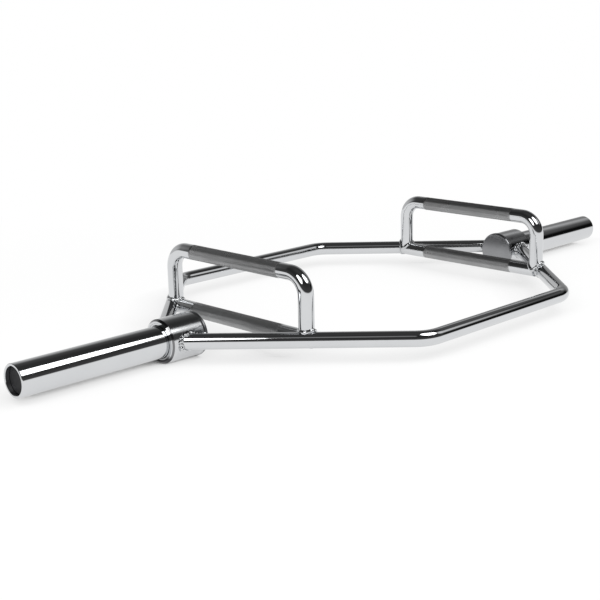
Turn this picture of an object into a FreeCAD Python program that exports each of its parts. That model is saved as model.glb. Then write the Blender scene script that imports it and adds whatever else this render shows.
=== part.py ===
import FreeCAD, Part
import math
import os

os.makedirs("parts", exist_ok=True)

# Hex trap bar, in millimetres.
# X runs along the plate sleeves, -Y is the front, +Z is up.
# The origin is on the floor under the middle of the bar.

# Driving dimensions of the bar as a whole
overall_length = 1420.0
sleeve_diameter = 50.0
sleeve_exposed = 250.0
bar_diameter = 25.0
end_plate_diameter = 71.0

# Hexagon frame, measured on the bars' centre lines
corner_x = 181.0
corner_y = 295.0
frame_bend_radius = 50.0

# Grips
grip_x = 300.0
post_y = 156.0
grip_rise = 97.5
grip_bend_radius = 32.0
post_foot_height = 3.0

# Collar housings and the plates that close them
collar_diameter = 69.0
collar_length = 64.0
collar_bore_radius = 25.8
collar_chamfer = 3.4
end_plate_thickness = 5.5
end_plate_rounding = 3.2

# Dust seal in the collar's mouth
seal_seat_radius = 28.5
seal_seat_depth = 6.0
seal_width = 5.8
seal_lip_radius = 24.9
seal_lip_slope = 1.6
seal_lip_flat = 1.0

# Rotating sleeves
sleeve_bore_radius = 21.0
sleeve_journal_radius = 24.5
sleeve_journal_cover = 1.0
sleeve_end_chamfer = 0.8
sleeve_bore_chamfer = 0.6

# Spindle on which the sleeve turns
spindle_radius = 15.0
spindle_flange_radius = 21.5
spindle_flange_length = 6.0
spindle_end_inset = 21.0
spindle_chamfer = 1.5
clip_groove_radius = 13.8
clip_groove_width = 1.6
clip_groove_inset = 25.8

# Bushes, washers and retaining clip
running_clearance = 0.05
bush_length = 30.0
bush_chamfer = 0.6
inner_bush_inset = 3.6
outer_bush_inset = 29.0
axial_play = 0.4
thrust_washer_thickness = 3.0
thrust_washer_radius = 23.5
washer_bore_clearance = 0.2
washer_edge_break = 0.3
retaining_washer_radius = 20.0
clip_thickness = 1.4
clip_outer_radius = 17.4
clip_mouth = 7.0
clip_lug_radius = 2.2
clip_lug_hole_radius = 0.9
clip_edge_break = 0.2

# End caps pressed into the sleeves
cap_recess = 7.0
cap_face_thickness = 4.0
cap_length = 13.0
cap_wall = 2.5
cap_chamfer = 1.0

# Welds
collar_weld_leg = 2.2
collar_weld_height = 2.2
foot_weld_leg = 2.2
foot_weld_height = 2.4
foot_weld_drop = 10.0
plate_weld_leg = 2.2
plate_weld_height = 0.8
spindle_weld_leg = 3.0

# Derived places along the sleeve axis, counted from the middle of the bar
half_length = overall_length / 2
bar_radius = bar_diameter / 2
sleeve_radius = sleeve_diameter / 2
collar_radius = collar_diameter / 2
end_plate_radius = end_plate_diameter / 2
axis_height = end_plate_radius
collar_face_x = half_length - sleeve_exposed
collar_back_x = collar_face_x - collar_length
plate_back_x = collar_back_x - end_plate_thickness
flange_face_x = collar_back_x + spindle_flange_length
sleeve_start_x = flange_face_x + thrust_washer_thickness + axial_play
frame_aim_x = collar_face_x

V = FreeCAD.Vector
SIDES = (("left", -1), ("right", 1))


def cylinder(radius, start, end):
    """Solid round bar between two points."""
    return Part.makeCylinder(radius, (end - start).Length, start, end - start)


def turned(sign, profile):
    """Solid turned about the sleeve axis from (distance from the middle, radius) corners."""
    corners = [V(sign * x, 0, axis_height + r) for x, r in profile]
    outline = Part.makePolygon(corners + corners[:1])
    return Part.Face(outline).revolve(V(0, 0, axis_height), V(1, 0, 0), 360)


def washer(sign, start, length, inner, outer, edge_break):
    """Flat ring on the sleeve axis, with its outer corners broken."""
    end = start + length
    return turned(sign, [
        (start, inner),
        (end, inner),
        (end, outer - edge_break),
        (end - edge_break, outer),
        (start + edge_break, outer),
        (start, outer - edge_break),
    ])


def bent_bar(corners, bend_radius):
    """Round bar that follows straight runs joined by tangent bends."""
    edges = []
    last = corners[0]
    for before, corner, after in zip(corners, corners[1:], corners[2:]):
        arriving = (corner - before).normalize()
        leaving = (after - corner).normalize()
        half_turn = arriving.getAngle(leaving) / 2
        reach = bend_radius * math.tan(half_turn)
        bend_start = corner - arriving * reach
        bend_end = corner + leaving * reach
        inward = (leaving - arriving).normalize()
        bend_middle = corner + inward * (bend_radius / math.cos(half_turn) - bend_radius)
        edges.append(Part.LineSegment(last, bend_start).toShape())
        edges.append(Part.Arc(bend_start, bend_middle, bend_end).toShape())
        last = bend_end
    edges.append(Part.LineSegment(last, corners[-1]).toShape())
    section = Part.makeCircle(bar_radius, corners[0], corners[1] - corners[0])
    return Part.Wire(edges).makePipe(Part.Face(Part.Wire(section)))


def largest(shape):
    """The main solid left after a cut."""
    return max(shape.Solids, key=lambda solid: solid.Volume)


def export(name, shape):
    """Writes one node and prints its volume for reading."""
    shape.exportStep(f"parts/{name}.step")
    print(f"{name:28s} {len(shape.Solids)} solid, {shape.Volume / 1000:9.2f} cm3, valid {shape.isValid()}")


# Frame: two bent bars whose ends are coped to the collars
def frame_corners(front):
    """Centre line of one rail, from the left collar to the right one."""
    return [
        V(-frame_aim_x, 0, axis_height),
        V(-corner_x, front * corner_y, axis_height),
        V(corner_x, front * corner_y, axis_height),
        V(frame_aim_x, 0, axis_height),
    ]


def collar_body(sign, growth=0.0):
    """Round outside of one collar, used to cope the rails and shape their welds."""
    return cylinder(collar_radius + growth, V(sign * collar_back_x, 0, axis_height),
                    V(sign * collar_face_x, 0, axis_height))


def make_rail(front):
    rail = bent_bar(frame_corners(front), frame_bend_radius)
    for _, sign in SIDES:
        rail = rail.cut(collar_body(sign))
    return largest(rail)


# Grips: a straight bar in the frame's plane, and a bail that stands on its ends
def make_low_grip(sign, rails):
    reach = (frame_aim_x - grip_x) * corner_y / (frame_aim_x - corner_x)
    grip = cylinder(bar_radius, V(sign * grip_x, -reach, axis_height), V(sign * grip_x, reach, axis_height))
    for rail in rails:
        grip = grip.cut(rail)
    return largest(grip)


def make_high_grip(sign, rails, low_grip):
    foot = axis_height + post_foot_height
    top = axis_height + grip_rise
    places = ((-post_y, foot), (-post_y, top), (post_y, top), (post_y, foot))
    bail = bent_bar([V(sign * grip_x, y, z) for y, z in places], grip_bend_radius)
    for neighbour in (*rails, low_grip):
        bail = bail.cut(neighbour)
    return largest(bail)


# Welds: the metal that lies close to both of the pieces it joins
def straight_rail(sign, front, growth):
    """Slanted run of a rail beside one collar, grown by a weld's size."""
    return cylinder(bar_radius + growth, V(sign * frame_aim_x, 0, axis_height),
                    V(sign * corner_x, front * corner_y, axis_height))


def make_collar_weld(sign, front):
    bead = straight_rail(sign, front, collar_weld_leg).common(collar_body(sign, collar_weld_height))
    return largest(bead.cut(collar_body(sign)).cut(straight_rail(sign, front, 0.0)))


def make_foot_weld(sign, front, neighbours):
    middle = V(sign * grip_x, 0, axis_height)
    foot = V(sign * grip_x, front * post_y, axis_height)
    rail_side = straight_rail(sign, front, foot_weld_height)
    low_grip_side = cylinder(bar_radius + foot_weld_height, middle, foot)
    low_grip_end = cylinder(bar_radius + foot_weld_leg, middle, foot + V(0, front * bar_radius, 0))
    post_side = cylinder(bar_radius + foot_weld_leg, foot, foot + V(0, 0, grip_rise / 2))
    bead = post_side.common(rail_side.fuse(low_grip_side)).fuse(low_grip_end.common(rail_side))
    bead = bead.cut(Part.makeBox(overall_length, overall_length, axis_height - foot_weld_drop,
                                 V(-half_length, -half_length, 0)))
    for neighbour in neighbours:
        bead = bead.cut(neighbour)
    return largest(bead)


# Turned pieces on one end of the bar
def make_collar(sign):
    return turned(sign, [
        (collar_back_x, collar_bore_radius),
        (collar_face_x - seal_seat_depth, collar_bore_radius),
        (collar_face_x - seal_seat_depth, seal_seat_radius),
        (collar_face_x, seal_seat_radius),
        (collar_face_x, collar_radius - collar_chamfer),
        (collar_face_x - collar_chamfer, collar_radius),
        (collar_back_x, collar_radius),
    ])


def make_end_plate(sign):
    plate = cylinder(end_plate_radius, V(sign * plate_back_x, 0, axis_height),
                     V(sign * collar_back_x, 0, axis_height))
    rims = [edge for edge in plate.Edges if edge.Closed]
    inner_rim = min(rims, key=lambda edge: abs(edge.CenterOfMass.x))
    return plate.makeFillet(end_plate_rounding, [inner_rim])


def make_plate_weld(sign):
    return turned(sign, [
        (collar_back_x, collar_radius),
        (collar_back_x, collar_radius + plate_weld_height),
        (collar_back_x + plate_weld_leg, collar_radius),
    ])


def make_spindle_weld(sign):
    return turned(sign, [
        (collar_back_x, spindle_flange_radius),
        (collar_back_x, spindle_flange_radius + spindle_weld_leg),
        (collar_back_x + spindle_weld_leg, spindle_flange_radius),
    ])


def make_spindle(sign):
    groove_x = half_length - clip_groove_inset
    end_x = half_length - spindle_end_inset
    return turned(sign, [
        (collar_back_x, 0),
        (collar_back_x, spindle_flange_radius),
        (flange_face_x, spindle_flange_radius),
        (flange_face_x, spindle_radius),
        (groove_x, spindle_radius),
        (groove_x, clip_groove_radius),
        (groove_x + clip_groove_width, clip_groove_radius),
        (groove_x + clip_groove_width, spindle_radius),
        (end_x - spindle_chamfer, spindle_radius),
        (end_x, spindle_radius - spindle_chamfer),
        (end_x, 0),
    ])


def make_thrust_washer(sign):
    return washer(sign, flange_face_x, thrust_washer_thickness,
                  spindle_radius + washer_bore_clearance, thrust_washer_radius, washer_edge_break)


def make_retaining_washer(sign):
    start = half_length - outer_bush_inset + axial_play
    length = half_length - clip_groove_inset - start
    return washer(sign, start, length, spindle_radius + washer_bore_clearance,
                  retaining_washer_radius, washer_edge_break)


def make_circlip(sign):
    start = half_length - clip_groove_inset + (clip_groove_width - clip_thickness) / 2
    near = V(sign * start, 0, axis_height)
    through = V(sign * clip_thickness, 0, 0)
    clip = washer(sign, start, clip_thickness, clip_groove_radius, clip_outer_radius, clip_edge_break)
    mouth = Part.makeBox(overall_length, clip_mouth, clip_outer_radius + clip_lug_radius,
                         V(-half_length, -clip_mouth / 2, axis_height))
    clip = clip.cut(mouth)
    lug_angle = math.asin((clip_mouth / 2 + clip_lug_radius) / clip_outer_radius)
    for turn in (-lug_angle, lug_angle):
        lug_place = near + V(0, math.sin(turn), math.cos(turn)) * clip_outer_radius
        lug = cylinder(clip_lug_radius, lug_place, lug_place + through)
        hole = cylinder(clip_lug_hole_radius, lug_place, lug_place + through)
        clip = clip.fuse(lug).cut(hole)
    return largest(clip)


def make_dust_seal(sign):
    back = collar_face_x - seal_seat_depth
    front = back + seal_width
    lip_start = back + (seal_width - seal_lip_flat) / 2
    return turned(sign, [
        (back, seal_seat_radius),
        (front, seal_seat_radius),
        (front, seal_lip_radius + seal_lip_slope),
        (lip_start + seal_lip_flat, seal_lip_radius),
        (lip_start, seal_lip_radius),
        (back, seal_lip_radius + seal_lip_slope),
    ])


def make_sleeve(sign):
    shoulder_x = collar_face_x - sleeve_journal_cover
    return turned(sign, [
        (sleeve_start_x, sleeve_bore_radius),
        (sleeve_start_x, sleeve_journal_radius),
        (shoulder_x, sleeve_journal_radius),
        (shoulder_x, sleeve_radius),
        (half_length - sleeve_end_chamfer, sleeve_radius),
        (half_length, sleeve_radius - sleeve_end_chamfer),
        (half_length, sleeve_bore_radius + sleeve_bore_chamfer),
        (half_length - sleeve_bore_chamfer, sleeve_bore_radius),
    ])


def make_bush(sign, start):
    return washer(sign, start, bush_length, spindle_radius + running_clearance,
                  sleeve_bore_radius, bush_chamfer)


def make_end_cap(sign):
    face_x = half_length - cap_recess
    inside_x = face_x - cap_face_thickness
    back_x = face_x - cap_length
    return turned(sign, [
        (face_x, 0),
        (face_x, sleeve_bore_radius - cap_chamfer),
        (face_x - cap_chamfer, sleeve_bore_radius),
        (back_x, sleeve_bore_radius),
        (back_x, sleeve_bore_radius - cap_wall),
        (inside_x, sleeve_bore_radius - cap_wall),
        (inside_x, 0),
    ])


front_rail = make_rail(-1)
rear_rail = make_rail(1)
rails = (front_rail, rear_rail)
export("front_rail", front_rail)
export("rear_rail", rear_rail)

for side, sign in SIDES:
    low_grip = make_low_grip(sign, rails)
    high_grip = make_high_grip(sign, rails, low_grip)
    foot_welds = [make_foot_weld(sign, front, (*rails, low_grip, high_grip)) for front in (-1, 1)]
    collar_welds = [make_collar_weld(sign, front) for front in (-1, 1)]
    export(f"{side}_low_grip", low_grip)
    export(f"{side}_high_grip", high_grip)
    export(f"{side}_grip_welds", Part.makeCompound(foot_welds))
    export(f"{side}_collar", make_collar(sign))
    export(f"{side}_collar_welds", Part.makeCompound(collar_welds))
    export(f"{side}_end_plate", make_end_plate(sign))
    export(f"{side}_plate_weld", make_plate_weld(sign))
    export(f"{side}_spindle", make_spindle(sign))
    export(f"{side}_spindle_weld", make_spindle_weld(sign))
    export(f"{side}_thrust_washer", make_thrust_washer(sign))
    export(f"{side}_retaining_washer", make_retaining_washer(sign))
    export(f"{side}_circlip", make_circlip(sign))
    export(f"{side}_dust_seal", make_dust_seal(sign))
    export(f"{side}_sleeve", make_sleeve(sign))
    export(f"{side}_inner_bush", make_bush(sign, sleeve_start_x + inner_bush_inset))
    export(f"{side}_outer_bush", make_bush(sign, half_length - outer_bush_inset - bush_length))
    export(f"{side}_end_cap", make_end_cap(sign))
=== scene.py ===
import math

import bmesh
import bpy
from mathutils import Matrix, Vector, noise


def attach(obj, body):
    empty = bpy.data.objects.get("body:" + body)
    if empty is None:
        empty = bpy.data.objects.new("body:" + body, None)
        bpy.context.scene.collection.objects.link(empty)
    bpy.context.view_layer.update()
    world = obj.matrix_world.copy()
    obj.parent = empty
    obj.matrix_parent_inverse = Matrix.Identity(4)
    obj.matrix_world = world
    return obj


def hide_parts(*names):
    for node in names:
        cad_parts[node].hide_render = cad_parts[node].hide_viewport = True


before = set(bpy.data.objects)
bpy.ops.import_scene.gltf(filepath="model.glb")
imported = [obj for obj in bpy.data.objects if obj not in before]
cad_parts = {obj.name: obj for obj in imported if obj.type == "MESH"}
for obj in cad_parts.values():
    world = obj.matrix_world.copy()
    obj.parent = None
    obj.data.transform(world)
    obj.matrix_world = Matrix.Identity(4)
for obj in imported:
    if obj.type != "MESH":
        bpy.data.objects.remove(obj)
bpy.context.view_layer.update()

# Sizes of the bar in metres, the same as in the CAD source
bar_radius = 0.0125
axis_height = 0.0355
corner_x = 0.181
corner_y = 0.295
frame_bend_radius = 0.050
collar_face_x = 0.460
collar_radius = 0.0345
grip_x = 0.300
post_y = 0.156
grip_rise = 0.0975
grip_bend_radius = 0.032

# Fineness of the meshes
bar_sides = 64
frame_bend_steps = 14
grip_bend_steps = 16
seal_sides = 96
same_place = 1e-6
smooth_below = math.radians(30)

# Rail ends stop inside the collar's wall
rail_cut = 0.030

# Diamond knurl on the grips
knurl_half_length = 0.104
knurl_columns = 96
knurl_rows = 254
knurl_depth = 0.00026

# Weld beads
bead_segments = 208
bead_sides = 14
# The last entry of each bead sets how strong the painted shade between its ripples is
collar_bead = {"radius": 0.0040, "ripples": 20, "ripple_depth": 0.42, "lump_height": 0.0017, "painted_shade_strength": 1.0}
post_bead = {"radius": 0.0033, "ripples": 8, "ripple_depth": 0.14, "lump_height": 0.0004, "painted_shade_strength": 0.05}
tee_bead = {"radius": 0.0017, "ripples": 14, "ripple_depth": 0.10, "lump_height": 0.0001, "painted_shade_strength": 0.05}
bead_path_step = 0.01
bead_ripple_lag = 0.30
bead_crest_middle = 0.8
bead_swell = 0.12
bead_slow_swells = 3
bead_quick_swells = 7
bead_quick_share = 0.6
bead_corner_rounding = 0.16
bead_lump_scale = 260

# Painted shade in the hollows between a bead's ripples and in its dents, weaker towards the floor
bead_ripple_shade = 1.2
bead_lump_shade = 0.8
bead_shade_middle = 0.75
bead_shade_rise = 0.60
bead_shade_start = 0.15
bead_shade_full = 0.75
bead_painted_shade_colour = (0.06, 0.06, 0.065)

# Dust seals: a steel case with a rubber lip, set back from the collar's mouth
seal_case_radius = 0.0285
seal_lip_seat_radius = 0.0258
seal_lip_radius = 0.02495
seal_front_x = 0.4598
seal_back_x = 0.4545
seal_case_edge = 0.0003
seal_lip_setback = 0.0010
seal_lip_slope = 0.0012

# Polished mouths of the collars, with dark reflections of shade painted on the outer edge and at the foot
mouth_start_x = 0.4560
mouth_end_x = 0.4565
mouth_roughness = 0.04
mouth_edge_start = 0.0318
mouth_edge_end = 0.0323
mouth_edge_roughness = 0.07
mouth_edge_painted_shade = (0.20, 0.20, 0.205)
mouth_foot_low = 0.0125
mouth_foot_high = 0.0190
mouth_foot_painted_shade = (0.055, 0.055, 0.058)

# Patterns of the finishes, with scales in waves per metre
haze_scale = 28
haze_detail = 5
fine_detail = 3
fine_strength = 0.25
grain_detail = 4
grain_strength = 0.5
cloud_scale = 40
cloud_detail = 3
noise_low = 0.3
noise_high = 0.7
even_marks = (1, 1, 1)
turned_marks = (1, 0.03, 0.03)
bush_marks = (1, 0.05, 0.05)
chrome_light = (0.66, 0.67, 0.68)
matte_specular = 0.3

# Camera, found from the photograph
camera_place = (-1.48514, -1.35833, 0.52707)
camera_yaw = 0.7729
camera_pitch = 0.2502
camera_roll = 0.0235
camera_focal_pixels = 1165.43
picture_pixels = 600
sensor_width = 36.0
camera_reach = 100

# Tent round the studio, with grey levels from the floor's level at nought to overhead at one
tent_radius = 8.0
tent_segments = 48
tent_rings = 24
tent_back_direction = (0.50, 0.866, 0.0)
tent_back_fade = (0.25, 0.60)
tent_right_direction = (1.0, 0.0, 0.0)
tent_right_fade = (0.60, 0.76)
tent_front_left_steps = (
    (0.04, 1.0), (0.11, 0.06), (0.25, 0.055), (0.45, 0.04), (0.70, 0.025), (0.85, 0.03), (1.0, 0.05))
tent_front_right_steps = (
    (0.04, 1.0), (0.10, 0.014), (0.22, 0.004), (0.32, 0.006), (0.38, 0.04), (0.45, 0.09), (0.53, 0.11),
    (0.56, 0.03), (0.61, 0.09), (0.66, 0.09), (0.75, 0.05), (1.0, 0.05))
tent_back_left_steps = (
    (0.0, 0.66), (0.28, 0.60), (0.45, 0.45), (0.58, 0.25), (0.68, 0.10), (0.76, 0.065), (1.0, 0.05))
tent_back_right_steps = (
    (0.0, 0.36), (0.16, 0.34), (0.30, 0.24), (0.36, 0.22), (0.42, 0.30), (0.47, 0.42), (0.51, 0.52),
    (0.54, 0.48), (0.56, 0.18), (0.61, 0.10), (0.66, 0.09), (1.0, 0.05))
tent_glows = (
    {"aim": (-0.4545, -0.4545, 0.7661), "strength": 0.22, "inner_angle": 4, "outer_angle": 10},
    {"aim": (0.630, -0.470, 0.618), "strength": 0.75, "inner_angle": 3, "outer_angle": 15},
)

# Paper floor, shaded close under the bar on the side away from the lamps
floor_tone = 0.90
floor_roughness = 0.9
floor_specular = 0.1
floor_glow = 0.84
floor_middle = (-0.35, -0.25, 0.0)
floor_near = 0.5
floor_far = 1.6
floor_shade_reach = 0.09
floor_shade_lean = (-0.30, -0.92, 0.26)
floor_shade_steps = (
    (0.48, 0.04), (0.55, 0.16), (0.59, 0.50), (0.64, 0.76), (0.72, 0.85), (0.86, 0.91), (0.95, 0.975),
    (1.0, 1.0))

# Lamps
dome_light = 0.85
softbox_light = 3.6
softbox_radius = 0.50
softbox_aim = (-0.2, 0, 0)
softbox_places = {
    "front_softbox": (0.20, -1.02, 1.42),
    "left_softbox": (-1.62, -0.52, 1.25),
}


# Modelling helpers

def select_only(piece):
    bpy.ops.object.select_all(action="DESELECT")
    piece.select_set(True)
    bpy.context.view_layer.objects.active = piece


def settle(name):
    """Name the new primitive and put its place into its mesh."""
    piece = bpy.context.active_object
    piece.name = name
    piece.data.name = name
    bpy.ops.object.transform_apply(location=True, rotation=True, scale=True)
    return piece


def pick_vertices(piece, wanted):
    bpy.ops.mesh.select_mode(type="VERT")
    bpy.ops.mesh.select_all(action="DESELECT")
    shape = bmesh.from_edit_mesh(piece.data)
    for vertex in shape.verts:
        vertex.select = wanted(vertex.co)
    shape.select_flush_mode()
    bmesh.update_edit_mesh(piece.data)


def pick_faces(piece, wanted):
    bpy.ops.mesh.select_mode(type="FACE")
    bpy.ops.mesh.select_all(action="DESELECT")
    shape = bmesh.from_edit_mesh(piece.data)
    for face in shape.faces:
        face.select = wanted(face.calc_center_median())
    shape.select_flush_mode()
    bmesh.update_edit_mesh(piece.data)


def draw_out(shift):
    bpy.ops.mesh.extrude_edges_move(TRANSFORM_OT_translate={"value": shift})


def turn_faces_out():
    """Turn all faces of the piece being edited outwards and leave edit mode."""
    bpy.ops.mesh.select_all(action="SELECT")
    bpy.ops.mesh.normals_make_consistent(inside=False)
    bpy.ops.object.mode_set(mode="OBJECT")


def close_and_smooth():
    """Turn the faces outwards and shade the round ones smooth."""
    turn_faces_out()
    bpy.ops.object.shade_smooth_by_angle(angle=smooth_below)


def copy_piece(piece, name, shift=(0, 0, 0), half_turn=False):
    """Copy a piece with its own mesh, moved or turned half round the upright axis."""
    select_only(piece)
    bpy.ops.object.duplicate(linked=False)
    copy = bpy.context.active_object
    copy.name = name
    copy.data.name = name
    turn = Matrix.Rotation(math.pi if half_turn else 0, 4, "Z")
    copy.data.transform(Matrix.Translation(shift) @ turn)
    return copy


def place_on_frame(piece, *nodes):
    """Let a chromed piece stand for its CAD nodes on the fixed frame."""
    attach(piece, "frame")
    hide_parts(*nodes)


# Rails of the hexagon

rail_run = Vector((collar_face_x - corner_x, -corner_y, 0))
rail_heading = math.atan2(rail_run.y, rail_run.x)
rail_bend = -rail_heading
rail_tangent = frame_bend_radius * math.tan(rail_bend / 2)


def make_front_rail():
    bpy.ops.object.select_all(action="DESELECT")
    bpy.ops.mesh.primitive_circle_add(
        vertices=bar_sides, radius=bar_radius, location=(-collar_face_x, 0, axis_height),
        rotation=(0, math.pi / 2, rail_heading))
    rail = settle("front_rail_bar")
    bpy.ops.object.mode_set(mode="EDIT")
    bpy.ops.mesh.select_all(action="SELECT")
    slanted = rail_run.normalized() * (rail_run.length - rail_tangent)
    bend_x = corner_x - rail_tangent
    bend_y = frame_bend_radius - corner_y
    draw_out(slanted)
    bend_rail(-bend_x, bend_y)
    draw_out((2 * bend_x, 0, 0))
    bend_rail(bend_x, bend_y)
    draw_out((slanted.x, -slanted.y, 0))
    bpy.ops.mesh.select_all(action="SELECT")
    bpy.ops.mesh.bisect(
        plane_co=(0, -rail_cut, 0), plane_no=(0, 1, 0), use_fill=True, clear_outer=True)
    close_and_smooth()
    rail.data.materials.append(chrome)
    return rail


def bend_rail(x, y):
    bpy.ops.mesh.spin(
        steps=frame_bend_steps, angle=-rail_bend, center=(x, y, axis_height), axis=(0, 0, 1))


# Knurled grips

def make_grip(name, height, with_posts):
    """Knurl the middle of a grip, then draw its plain ends out of the knurl's two rims."""
    bpy.ops.object.select_all(action="DESELECT")
    bpy.ops.mesh.primitive_cylinder_add(
        vertices=knurl_columns, radius=bar_radius, depth=2 * knurl_half_length,
        end_fill_type="NOTHING", location=(grip_x, 0, height), rotation=(math.pi / 2, 0, 0))
    grip = settle(name)
    bpy.ops.object.mode_set(mode="EDIT")
    cut_knurl(grip, height)
    for end in (-1, 1):
        pick_vertices(grip, lambda co: abs(co.y - end * knurl_half_length) < same_place)
        if with_posts:
            draw_post(end, height)
        else:
            draw_out((0, end * (post_y - knurl_half_length), 0))
        bpy.ops.mesh.edge_face_add()
    pick_faces(grip, lambda co: abs(co.y) < knurl_half_length)
    grip.data.materials.append(chrome)
    grip.data.materials.append(knurled_chrome)
    grip.active_material_index = 1
    bpy.ops.object.material_slot_assign()
    close_and_smooth()
    return grip


def cut_knurl(grip, height):
    """Press every second point of a fine grid inwards, so that pyramids stand between the grooves."""
    row_length = 2 * knurl_half_length / knurl_rows
    column_angle = 2 * math.pi / knurl_columns
    bpy.ops.mesh.select_mode(type="EDGE")
    bpy.ops.mesh.select_all(action="DESELECT")
    shape = bmesh.from_edit_mesh(grip.data)
    for edge in shape.edges:
        edge.select = abs(edge.verts[0].co.y - edge.verts[1].co.y) > knurl_half_length
    bmesh.update_edit_mesh(grip.data)
    bpy.ops.mesh.subdivide(number_cuts=knurl_rows - 1)

    def in_groove(co):
        row = round((co.y + knurl_half_length) / row_length)
        column = round(math.atan2(co.z - height, co.x - grip_x) / column_angle)
        return 0 < row < knurl_rows and (row + column) % 2 == 1

    pick_vertices(grip, in_groove)
    bpy.ops.transform.shrink_fatten(value=-knurl_depth)
    bpy.ops.mesh.select_all(action="SELECT")
    bpy.ops.mesh.quads_convert_to_tris(quad_method="SHORTEST_DIAGONAL")


def draw_post(end, height):
    bend_y = post_y - grip_bend_radius
    bend_z = height - grip_bend_radius
    draw_out((0, end * (bend_y - knurl_half_length), 0))
    bpy.ops.mesh.spin(
        steps=grip_bend_steps, angle=end * math.pi / 2, center=(grip_x, end * bend_y, bend_z),
        axis=(1, 0, 0))
    draw_out((0, 0, axis_height - bend_z))


# Weld beads

def make_bead(name, path, start, radius, ripples, ripple_depth, lump_height, painted_shade_strength):
    """Bend a ring onto a weld's path and give it the overlapping ripples of a bead laid by hand."""
    bpy.ops.object.select_all(action="DESELECT")
    bpy.ops.mesh.primitive_torus_add(
        major_segments=bead_segments, minor_segments=bead_sides, major_radius=bar_radius,
        minor_radius=radius)
    bead = settle(name)
    valleys = bead.data.attributes.new("valley", "FLOAT", "POINT")
    for vertex, valley in zip(bead.data.vertices, valleys.data):
        around = math.atan2(vertex.co.y, vertex.co.x)
        across = math.atan2(vertex.co.z, math.hypot(vertex.co.x, vertex.co.y) - bar_radius)
        point, outward = path(around)
        along = (path(around + bead_path_step)[0] - path(around - bead_path_step)[0]).normalized()
        sideways = along.cross(outward)
        ripple = around / (2 * math.pi) * ripples + start + bead_ripple_lag * math.cos(across)
        crest = math.sqrt(1 - (2 * (ripple % 1) - 1) ** 2)
        slow_swell = math.sin(bead_slow_swells * around + start)
        quick_swell = math.sin(bead_quick_swells * around + 2 * start)
        swell = bead_swell * (slow_swell + bead_quick_share * quick_swell)
        size = radius * (1 + ripple_depth * (crest - bead_crest_middle) + swell)
        spot = point + size * (math.cos(across) * outward + math.sin(across) * sideways)
        lump = noise.noise(spot * bead_lump_scale)
        vertex.co = spot + lump * lump_height * (spot - point).normalized()
        # Painted shade: darker between the ripples and in the dents, weaker lower down, kept in the
        # valley attribute
        height = (spot.z - axis_height) / bar_radius
        painted_shade_share = min(max(bead_shade_middle + bead_shade_rise * height, 0), 1)
        valley.value = painted_shade_strength * painted_shade_share * (bead_ripple_shade * (1 - crest) - bead_lump_shade * lump)
    bpy.ops.object.mode_set(mode="EDIT")
    turn_faces_out()
    bpy.ops.object.shade_smooth()
    return bead


def rounded_size(value):
    """The size of a number without its sign, with the corner at nought rounded off."""
    return math.sqrt(value ** 2 + bead_corner_rounding ** 2)


def rail_start(side):
    """Point on the sleeves' axis that the rails of one side run to."""
    return Vector((side * collar_face_x, 0, axis_height))


def rail_direction(side, end):
    return Vector((-side * rail_run.x, end * corner_y, 0)).normalized()


def inward_of_rail(side, end):
    forward = rail_direction(side, end)
    inward = Vector((-forward.y, forward.x, 0))
    return inward if inward.x * side < 0 else -inward


def collar_path(side, end):
    """Curve where a rail runs into the round outside of a collar."""
    forward = rail_direction(side, end)
    across = Vector((-forward.y, forward.x, 0))
    start = rail_start(side)

    def at(angle):
        normal = math.cos(angle) * across + Vector((0, 0, math.sin(angle)))
        depth = end * math.sqrt(collar_radius ** 2 - (bar_radius * math.sin(angle)) ** 2)
        reach = (depth - bar_radius * normal.y) / forward.y
        point = start + reach * forward + bar_radius * normal
        collar_normal = Vector((0, depth, point.z - axis_height)).normalized()
        return point, (normal + collar_normal).normalized()

    return at


def post_path(side, end):
    """Curve where a post stands on the low grip and the rail."""
    inward = inward_of_rail(side, end)
    foot = Vector((side * grip_x, end * post_y, axis_height))
    start = rail_start(side)

    def at(angle):
        normal = Vector((math.cos(angle), math.sin(angle), 0))
        point = foot + bar_radius * normal
        grip_rise_here = bar_radius * rounded_size(math.sin(angle))
        rail_distance = (point - start).dot(inward)
        rail_rise_here = math.sqrt(max(bar_radius ** 2 - rail_distance ** 2, 0))
        rise = (grip_rise_here ** 4 + rail_rise_here ** 4) ** 0.25
        tilt = rise / bar_radius
        return point + Vector((0, 0, rise)), (normal + Vector((0, 0, tilt))).normalized()

    return at


def tee_path(side, end):
    """Curve where the low grip butts against the rail."""
    inward = inward_of_rail(side, end)
    start = rail_start(side)

    def at(angle):
        normal = Vector((math.cos(angle), 0, math.sin(angle)))
        opened = rounded_size(math.cos(angle))
        x = side * grip_x + bar_radius * normal.x
        y = (bar_radius * opened - (x - start.x) * inward.x) / inward.y
        rail_normal = opened * inward + Vector((0, 0, math.sin(angle)))
        point = Vector((x, y, axis_height + bar_radius * normal.z))
        return point, (normal + rail_normal).normalized()

    return at


def join_beads(name, beads, node):
    bpy.ops.object.select_all(action="DESELECT")
    for bead in beads:
        bead.select_set(True)
    bpy.context.view_layer.objects.active = beads[0]
    bpy.ops.object.join()
    beads[0].name = name
    beads[0].data.name = name
    beads[0].data.materials.append(weld_chrome)
    place_on_frame(beads[0], node)


def make_welds(side, side_name):
    collar_beads = []
    grip_beads = []
    for end in (-1, 1):
        start = side + 2 * end
        collar_beads.append(make_bead("collar_bead", collar_path(side, end), start, **collar_bead))
        grip_beads.append(make_bead("post_bead", post_path(side, end), start, **post_bead))
        grip_beads.append(make_bead("tee_bead", tee_path(side, end), start, **tee_bead))
    join_beads(f"{side_name}_collar_beads", collar_beads, f"{side_name}_collar_welds")
    join_beads(f"{side_name}_grip_beads", grip_beads, f"{side_name}_grip_welds")


# Dust seals

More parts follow.
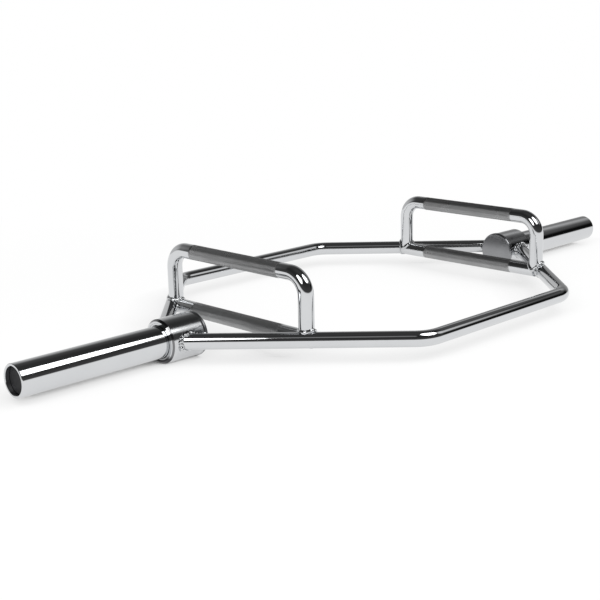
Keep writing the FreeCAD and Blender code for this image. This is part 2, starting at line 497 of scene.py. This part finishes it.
def turn_ring(name, profile):
    """Draw a closed profile of places along the axis and radii round the sleeves' axis."""
    x, radius = profile[0]
    bpy.ops.object.select_all(action="DESELECT")
    bpy.ops.mesh.primitive_circle_add(
        vertices=seal_sides, radius=radius, location=(x, 0, axis_height), rotation=(0, math.pi / 2, 0))
    ring = settle(name)
    bpy.ops.object.mode_set(mode="EDIT")
    bpy.ops.mesh.select_all(action="SELECT")
    for next_x, next_radius in profile[1:] + profile[:1]:
        draw_out((next_x - x, 0, 0))
        growth = next_radius / radius
        bpy.ops.transform.resize(value=(1, growth, growth), center_override=(next_x, 0, axis_height))
        x, radius = next_x, next_radius
    bpy.ops.mesh.select_all(action="SELECT")
    bpy.ops.mesh.remove_doubles(threshold=same_place)
    close_and_smooth()
    return ring


def make_seal():
    lip_front_x = seal_front_x - seal_lip_setback
    case = [
        (seal_back_x, seal_case_radius),
        (seal_front_x - seal_case_edge, seal_case_radius),
        (seal_front_x, seal_case_radius - seal_case_edge),
        (seal_front_x, seal_lip_seat_radius + seal_case_edge),
        (seal_front_x - seal_case_edge, seal_lip_seat_radius),
    ]
    lip = [
        (lip_front_x, seal_lip_seat_radius),
        (lip_front_x, seal_lip_radius + seal_case_edge),
        (lip_front_x - seal_case_edge, seal_lip_radius),
        (lip_front_x - seal_lip_slope, seal_lip_radius),
        (seal_back_x, seal_lip_radius + seal_lip_slope),
    ]
    seal = turn_ring("right_cased_seal", case + lip)
    seal.data.materials.append(seal_rubber)
    seal.data.materials.append(seal_case_steel)
    select_only(seal)
    bpy.ops.object.mode_set(mode="EDIT")
    pick_faces(seal, lambda co: math.hypot(co.y, co.z - axis_height) > seal_lip_seat_radius)
    seal.active_material_index = 1
    bpy.ops.object.material_slot_assign()
    bpy.ops.object.mode_set(mode="OBJECT")
    return seal


# Steps that the finishes share

def new_finish(name):
    material = bpy.data.materials.new(name)
    material.use_nodes = True
    nodes = material.node_tree.nodes
    return material, nodes, material.node_tree.links, nodes["Principled BSDF"]


def noise_on(nodes, links, scale, detail, stretch=even_marks):
    """Noise over the object's own coordinates."""
    place = nodes.new("ShaderNodeTexCoord")
    mapping = nodes.new("ShaderNodeMapping")
    mapping.inputs["Scale"].default_value = stretch
    pattern = nodes.new("ShaderNodeTexNoise")
    pattern.inputs["Scale"].default_value = scale
    pattern.inputs["Detail"].default_value = detail
    links.new(place.outputs["Object"], mapping.inputs["Vector"])
    links.new(mapping.outputs["Vector"], pattern.inputs["Vector"])
    return pattern.outputs["Fac"]


def spread(nodes, links, value, low, high, start=noise_low, end=noise_high):
    """Map a value evenly onto a range."""
    fit = nodes.new("ShaderNodeMapRange")
    fit.inputs["From Min"].default_value = start
    fit.inputs["From Max"].default_value = end
    fit.inputs["To Min"].default_value = low
    fit.inputs["To Max"].default_value = high
    links.new(value, fit.inputs["Value"])
    return fit.outputs["Result"]


def fade(nodes, links, value, start, end, first, last):
    """Map a value onto a range with a soft start and end."""
    soft = nodes.new("ShaderNodeMapRange")
    soft.interpolation_type = "SMOOTHSTEP"
    soft.inputs["From Min"].default_value = start
    soft.inputs["From Max"].default_value = end
    soft.inputs["To Min"].default_value = first
    soft.inputs["To Max"].default_value = last
    links.new(value, soft.inputs["Value"])
    return soft.outputs["Result"]


def step_through(nodes, links, value, steps):
    """Grey levels met one after the other as a value rises."""
    ramp = nodes.new("ShaderNodeValToRGB")
    stops = ramp.color_ramp.elements
    while len(stops) < len(steps):
        stops.new(0.5)
    for stop, (position, level) in zip(stops, steps):
        stop.position = position
        stop.color = (level, level, level, 1)
    links.new(value, ramp.inputs["Fac"])
    return ramp.outputs["Color"]


def join_values(nodes, links, operation, first, second, use_clamp=False):
    """Add or multiply two values."""
    sum_or_product = nodes.new("ShaderNodeMath")
    sum_or_product.operation = operation
    sum_or_product.use_clamp = use_clamp
    links.new(first, sum_or_product.inputs[0])
    links.new(second, sum_or_product.inputs[1])
    return sum_or_product.outputs["Value"]


def blend_levels(nodes, links, share, first, second):
    mix = nodes.new("ShaderNodeMix")
    links.new(share, mix.inputs["Factor"])
    links.new(first, mix.inputs["A"])
    links.new(second, mix.inputs["B"])
    return mix.outputs["Result"]


def blend_colours(nodes, links, share, first, second):
    mix = nodes.new("ShaderNodeMix")
    mix.data_type = "RGBA"
    mix.inputs["A"].default_value = (*first, 1)
    mix.inputs["B"].default_value = (*second, 1)
    links.new(share, mix.inputs["Factor"])
    return mix.outputs["Result"]


def mix_in_level(nodes, links, socket, share, level):
    """Bring a set level into what already feeds a socket."""
    mix = nodes.new("ShaderNodeMix")
    mix.inputs["B"].default_value = level
    links.new(share, mix.inputs["Factor"])
    links.new(socket.links[0].from_socket, mix.inputs["A"])
    links.new(mix.outputs["Result"], socket)


def mix_in_colour(nodes, links, socket, share, colour):
    """Bring a set colour into what already feeds a socket."""
    mix = nodes.new("ShaderNodeMix")
    mix.data_type = "RGBA"
    mix.inputs["B"].default_value = (*colour, 1)
    links.new(share, mix.inputs["Factor"])
    links.new(socket.links[0].from_socket, mix.inputs["A"])
    links.new(mix.outputs["Result"], socket)


def raise_surface(nodes, links, surface, value, strength, depth):
    bump = nodes.new("ShaderNodeBump")
    bump.inputs["Strength"].default_value = strength
    bump.inputs["Distance"].default_value = depth
    links.new(value, bump.inputs["Height"])
    links.new(bump.outputs["Normal"], surface.inputs["Normal"])


# Finishes

def metal(name, light, dark, smooth, rough, fine_scale, marks, bump_depth):
    """Metal with a drifting tone, hazy patches and a fine machined or polished surface."""
    material, nodes, links, surface = new_finish(name)
    surface.inputs["Metallic"].default_value = 1.0
    haze = noise_on(nodes, links, haze_scale, haze_detail)
    fine = noise_on(nodes, links, fine_scale, fine_detail, marks)
    links.new(blend_colours(nodes, links, haze, light, dark), surface.inputs["Base Color"])
    links.new(spread(nodes, links, haze, smooth, rough), surface.inputs["Roughness"])
    raise_surface(nodes, links, surface, fine, fine_strength, bump_depth)
    return material


def matte(name, light, dark, smooth, rough, grain_scale, bump_depth):
    """Plastic or rubber with a fine moulded grain."""
    material, nodes, links, surface = new_finish(name)
    surface.inputs["Specular IOR Level"].default_value = matte_specular
    grain = noise_on(nodes, links, grain_scale, grain_detail)
    cloud = noise_on(nodes, links, cloud_scale, cloud_detail)
    links.new(blend_colours(nodes, links, cloud, light, dark), surface.inputs["Base Color"])
    links.new(spread(nodes, links, grain, smooth, rough), surface.inputs["Roughness"])
    raise_surface(nodes, links, surface, grain, grain_strength, bump_depth)
    return material


def paint_valley_shade(material):
    """Paint shade into a weld's metal between its ripples, as the piece's own attribute tells."""
    nodes = material.node_tree.nodes
    links = material.node_tree.links
    valley = nodes.new("ShaderNodeAttribute")
    valley.attribute_name = "valley"
    share = spread(nodes, links, valley.outputs["Fac"], 0.0, 1.0, bead_shade_start, bead_shade_full)
    mix_in_colour(nodes, links, nodes["Principled BSDF"].inputs["Base Color"], share, bead_painted_shade_colour)


def polish_mouth_and_paint_shade(material):
    """Polish a collar's turned mouth and paint dark reflections of shade on the edge round it and on its
    foot.
    """
    nodes = material.node_tree.nodes
    links = material.node_tree.links
    surface = nodes["Principled BSDF"]
    place = nodes.new("ShaderNodeTexCoord")
    split = nodes.new("ShaderNodeSeparateXYZ")
    links.new(place.outputs["Object"], split.inputs["Vector"])
    outward = nodes.new("ShaderNodeMath")
    outward.operation = "ABSOLUTE"
    links.new(split.outputs["X"], outward.inputs[0])
    from_axis = nodes.new("ShaderNodeVectorMath")
    from_axis.operation = "MULTIPLY_ADD"
    from_axis.inputs[1].default_value = (0, 1, 1)
    from_axis.inputs[2].default_value = (0, 0, -axis_height)
    links.new(place.outputs["Object"], from_axis.inputs[0])
    radius = nodes.new("ShaderNodeVectorMath")
    radius.operation = "LENGTH"
    links.new(from_axis.outputs["Vector"], radius.inputs[0])
    at_mouth = spread(nodes, links, outward.outputs["Value"], 0.0, 1.0, mouth_start_x, mouth_end_x)
    at_edge = spread(nodes, links, radius.outputs["Value"], 0.0, 1.0, mouth_edge_start, mouth_edge_end)
    at_foot = spread(nodes, links, split.outputs["Z"], 1.0, 0.0, mouth_foot_low, mouth_foot_high)
    edge = join_values(nodes, links, "MULTIPLY", at_mouth, at_edge)
    foot = join_values(nodes, links, "MULTIPLY", at_mouth, at_foot)
    mix_in_level(nodes, links, surface.inputs["Roughness"], at_mouth, mouth_roughness)
    mix_in_level(nodes, links, surface.inputs["Roughness"], edge, mouth_edge_roughness)
    # Painted shade: darker colour on the outer edge and at the foot of the mouth, standing for dark
    # reflections
    mix_in_colour(nodes, links, surface.inputs["Base Color"], edge, mouth_edge_painted_shade)
    mix_in_colour(nodes, links, surface.inputs["Base Color"], foot, mouth_foot_painted_shade)


chrome = metal(
    "bar_chrome", light=chrome_light, dark=(0.62, 0.63, 0.645), smooth=0.035, rough=0.075,
    fine_scale=90, marks=even_marks, bump_depth=0.00012)
turned_chrome = metal(
    "turned_chrome", light=chrome_light, dark=(0.61, 0.62, 0.635), smooth=0.045, rough=0.09,
    fine_scale=900, marks=turned_marks, bump_depth=0.00001)
hazed_chrome = metal(
    "hazed_chrome", light=chrome_light, dark=(0.60, 0.61, 0.625), smooth=0.11, rough=0.17,
    fine_scale=900, marks=turned_marks, bump_depth=0.00001)
polish_mouth_and_paint_shade(hazed_chrome)
satin_chrome = metal(
    "satin_chrome", light=(0.33, 0.334, 0.345), dark=(0.29, 0.294, 0.304), smooth=0.20, rough=0.28,
    fine_scale=900, marks=even_marks, bump_depth=0.000005)
seal_case_steel = metal(
    "seal_case_steel", light=(0.62, 0.63, 0.64), dark=(0.60, 0.61, 0.62), smooth=0.04, rough=0.08,
    fine_scale=900, marks=turned_marks, bump_depth=0.00001)
knurled_chrome = metal(
    "knurled_chrome", light=(0.38, 0.382, 0.385), dark=(0.30, 0.302, 0.305), smooth=0.25, rough=0.38,
    fine_scale=700, marks=even_marks, bump_depth=0.00006)
weld_chrome = metal(
    "weld_chrome", light=chrome_light, dark=(0.56, 0.57, 0.58), smooth=0.05, rough=0.12,
    fine_scale=500, marks=even_marks, bump_depth=0.00025)
paint_valley_shade(weld_chrome)
plain_steel = metal(
    "plain_steel", light=(0.42, 0.42, 0.43), dark=(0.33, 0.33, 0.34), smooth=0.22, rough=0.38,
    fine_scale=900, marks=turned_marks, bump_depth=0.00003)
spring_steel = metal(
    "spring_steel", light=(0.07, 0.07, 0.08), dark=(0.04, 0.04, 0.045), smooth=0.30, rough=0.48,
    fine_scale=900, marks=even_marks, bump_depth=0.00003)
bearing_bronze = metal(
    "bearing_bronze", light=(0.55, 0.36, 0.17), dark=(0.44, 0.27, 0.12), smooth=0.25, rough=0.42,
    fine_scale=900, marks=bush_marks, bump_depth=0.00003)
seal_rubber = matte(
    "seal_rubber", light=(0.018, 0.018, 0.019), dark=(0.011, 0.011, 0.012), smooth=0.42, rough=0.60,
    grain_scale=1400, bump_depth=0.00005)
black_plastic = matte(
    "black_plastic", light=(0.022, 0.022, 0.024), dark=(0.014, 0.014, 0.016), smooth=0.52, rough=0.68,
    grain_scale=2600, bump_depth=0.00004)


# Pieces of the frame

front_rail = make_front_rail()
rear_rail = copy_piece(front_rail, "rear_rail_bar", half_turn=True)
place_on_frame(front_rail, "front_rail")
place_on_frame(rear_rail, "rear_rail")

right_low_grip = make_grip("right_low_grip_bar", axis_height, with_posts=False)
right_high_grip = make_grip("right_high_grip_bar", axis_height + grip_rise, with_posts=True)
to_left = (-2 * grip_x, 0, 0)
left_low_grip = copy_piece(right_low_grip, "left_low_grip_bar", shift=to_left)
left_high_grip = copy_piece(right_high_grip, "left_high_grip_bar", shift=to_left)
grips = {
    "right_low_grip": right_low_grip,
    "right_high_grip": right_high_grip,
    "left_low_grip": left_low_grip,
    "left_high_grip": left_high_grip,
}
for node, grip in grips.items():
    place_on_frame(grip, node)

for side, side_name in ((-1, "left"), (1, "right")):
    make_welds(side, side_name)

right_seal = make_seal()
left_seal = copy_piece(right_seal, "left_cased_seal", half_turn=True)
for side, seal in (("right", right_seal), ("left", left_seal)):
    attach(seal, "frame")
    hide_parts(f"{side}_dust_seal")

# Finishes of the CAD nodes that stay
node_finishes = {
    "collar": hazed_chrome,
    "end_plate": satin_chrome,
    "sleeve": turned_chrome,
    "plate_weld": weld_chrome,
    "spindle": plain_steel,
    "spindle_weld": plain_steel,
    "thrust_washer": plain_steel,
    "retaining_washer": plain_steel,
    "circlip": spring_steel,
    "inner_bush": bearing_bronze,
    "outer_bush": bearing_bronze,
    "end_cap": black_plastic,
}
for side in ("left", "right"):
    for part, finish in node_finishes.items():
        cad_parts[f"{side}_{part}"].material_slots[0].material = finish


# Studio

def seen_directly(nodes, links):
    """One for camera, glossy and transmission rays, nought for the rest."""
    path = nodes.new("ShaderNodeLightPath")
    total = path.outputs["Is Camera Ray"]
    for ray in ("Is Glossy Ray", "Is Transmission Ray"):
        total = join_values(nodes, links, "ADD", total, path.outputs[ray], use_clamp=True)
    return total


def make_floor():
    """Pale paper that turns into plain white away from the bar."""
    bpy.ops.object.select_all(action="DESELECT")
    bpy.ops.mesh.primitive_plane_add(size=2 * tent_radius, location=(0, 0, 0))
    floor = settle("floor")
    material, nodes, links, surface = new_finish("floor_paper")
    surface.inputs["Base Color"].default_value = (floor_tone, floor_tone, floor_tone, 1)
    surface.inputs["Roughness"].default_value = floor_roughness
    surface.inputs["Specular IOR Level"].default_value = floor_specular
    shade = nodes.new("ShaderNodeAmbientOcclusion")
    shade.inputs["Distance"].default_value = floor_shade_reach
    lean = nodes.new("ShaderNodeCombineXYZ")
    for axis, amount in zip("XYZ", floor_shade_lean):
        lean.inputs[axis].default_value = amount
    links.new(lean.outputs["Vector"], shade.inputs["Normal"])
    glow = nodes.new("ShaderNodeEmission")
    links.new(step_through(nodes, links, shade.outputs["AO"], floor_shade_steps), glow.inputs["Color"])
    links.new(seen_directly(nodes, links), glow.inputs["Strength"])
    place = nodes.new("ShaderNodeTexCoord")
    distance = nodes.new("ShaderNodeVectorMath")
    distance.operation = "DISTANCE"
    distance.inputs[1].default_value = floor_middle
    links.new(place.outputs["Object"], distance.inputs[0])
    share = fade(nodes, links, distance.outputs["Value"], floor_near, floor_far, floor_glow, 1.0)
    mix = nodes.new("ShaderNodeMixShader")
    links.new(share, mix.inputs["Fac"])
    links.new(surface.outputs["BSDF"], mix.inputs[1])
    links.new(glow.outputs["Emission"], mix.inputs[2])
    links.new(mix.outputs["Shader"], nodes["Material Output"].inputs["Surface"])
    floor.data.materials.append(material)


def towards(nodes, links, direction, aim):
    """How nearly a direction points at an aim, one when it does."""
    product = nodes.new("ShaderNodeVectorMath")
    product.operation = "DOT_PRODUCT"
    product.inputs[1].default_value = aim
    links.new(direction, product.inputs[0])
    return product.outputs["Value"]


def tent_glow(nodes, links, direction, aim, strength, inner_angle, outer_angle):
    """Soft round patch of light on the tent."""
    nearness = towards(nodes, links, direction, aim)
    start = math.cos(math.radians(outer_angle))
    end = math.cos(math.radians(inner_angle))
    return fade(nodes, links, nearness, start, end, 0.0, strength)


def make_tent():
    """Dark tent round the studio, open and paler at the back, which only the metal mirrors."""
    bpy.ops.object.select_all(action="DESELECT")
    bpy.ops.mesh.primitive_uv_sphere_add(
        segments=tent_segments, ring_count=tent_rings, radius=tent_radius)
    tent = settle("studio_tent")
    material, nodes, links, _ = new_finish("tent_cloth")
    nodes.clear()
    place = nodes.new("ShaderNodeTexCoord")
    unit = nodes.new("ShaderNodeVectorMath")
    unit.operation = "NORMALIZE"
    links.new(place.outputs["Object"], unit.inputs[0])
    direction = unit.outputs["Vector"]
    split = nodes.new("ShaderNodeSeparateXYZ")
    links.new(direction, split.inputs["Vector"])
    height = split.outputs["Z"]
    backness = fade(nodes, links, towards(nodes, links, direction, tent_back_direction),
                    *tent_back_fade, 0.0, 1.0)
    rightness = fade(nodes, links, towards(nodes, links, direction, tent_right_direction),
                     *tent_right_fade, 0.0, 1.0)
    front = blend_levels(
        nodes, links, rightness, step_through(nodes, links, height, tent_front_left_steps),
        step_through(nodes, links, height, tent_front_right_steps))
    back = blend_levels(
        nodes, links, rightness, step_through(nodes, links, height, tent_back_left_steps),
        step_through(nodes, links, height, tent_back_right_steps))
    level = blend_levels(nodes, links, backness, front, back)
    for patch in tent_glows:
        level = join_values(nodes, links, "ADD", level, tent_glow(nodes, links, direction, **patch))
    glow = nodes.new("ShaderNodeEmission")
    output = nodes.new("ShaderNodeOutputMaterial")
    links.new(level, glow.inputs["Strength"])
    links.new(glow.outputs["Emission"], output.inputs["Surface"])
    tent.data.materials.append(material)
    tent.visible_camera = False
    tent.visible_diffuse = False
    tent.visible_shadow = False


def make_softbox(name, place):
    """Round softbox that faces the bar."""
    lamp = bpy.data.lights.new(name, "AREA")
    lamp.shape = "DISK"
    lamp.size = 2 * softbox_radius
    lamp.energy = softbox_light * (math.pi * softbox_radius) ** 2
    box = bpy.data.objects.new(name, lamp)
    box.location = place
    box.rotation_euler = (Vector(place) - Vector(softbox_aim)).to_track_quat("Z", "Y").to_euler()
    box.visible_camera = False
    bpy.context.scene.collection.objects.link(box)


def make_world():
    world = bpy.data.worlds.new("studio_air")
    world.use_nodes = True
    nodes = world.node_tree.nodes
    links = world.node_tree.links
    air = nodes["Background"]
    air.inputs["Color"].default_value = (1, 1, 1, 1)
    strength = spread(nodes, links, seen_directly(nodes, links), dome_light, 1.0, 0.0, 1.0)
    links.new(strength, air.inputs["Strength"])
    bpy.context.scene.world = world


def make_camera():
    lens = bpy.data.cameras.new("photo_camera")
    lens.sensor_width = sensor_width
    lens.lens = camera_focal_pixels * sensor_width / picture_pixels
    lens.clip_end = camera_reach
    camera = bpy.data.objects.new("photo_camera", lens)
    forward = Vector((
        math.sin(camera_yaw) * math.cos(camera_pitch), math.cos(camera_yaw) * math.cos(camera_pitch),
        -math.sin(camera_pitch)))
    level_right = Vector((math.cos(camera_yaw), -math.sin(camera_yaw), 0))
    level_down = forward.cross(level_right)
    right = math.cos(camera_roll) * level_right + math.sin(camera_roll) * level_down
    up = math.sin(camera_roll) * level_right - math.cos(camera_roll) * level_down
    turn = Matrix((right, up, -forward)).transposed().to_4x4()
    camera.matrix_world = Matrix.Translation(camera_place) @ turn
    bpy.context.scene.collection.objects.link(camera)
    bpy.context.scene.camera = camera


make_floor()
make_tent()
for name, place in softbox_places.items():
    make_softbox(name, place)
make_world()
make_camera()
bpy.context.scene.view_settings.view_transform = "Standard"
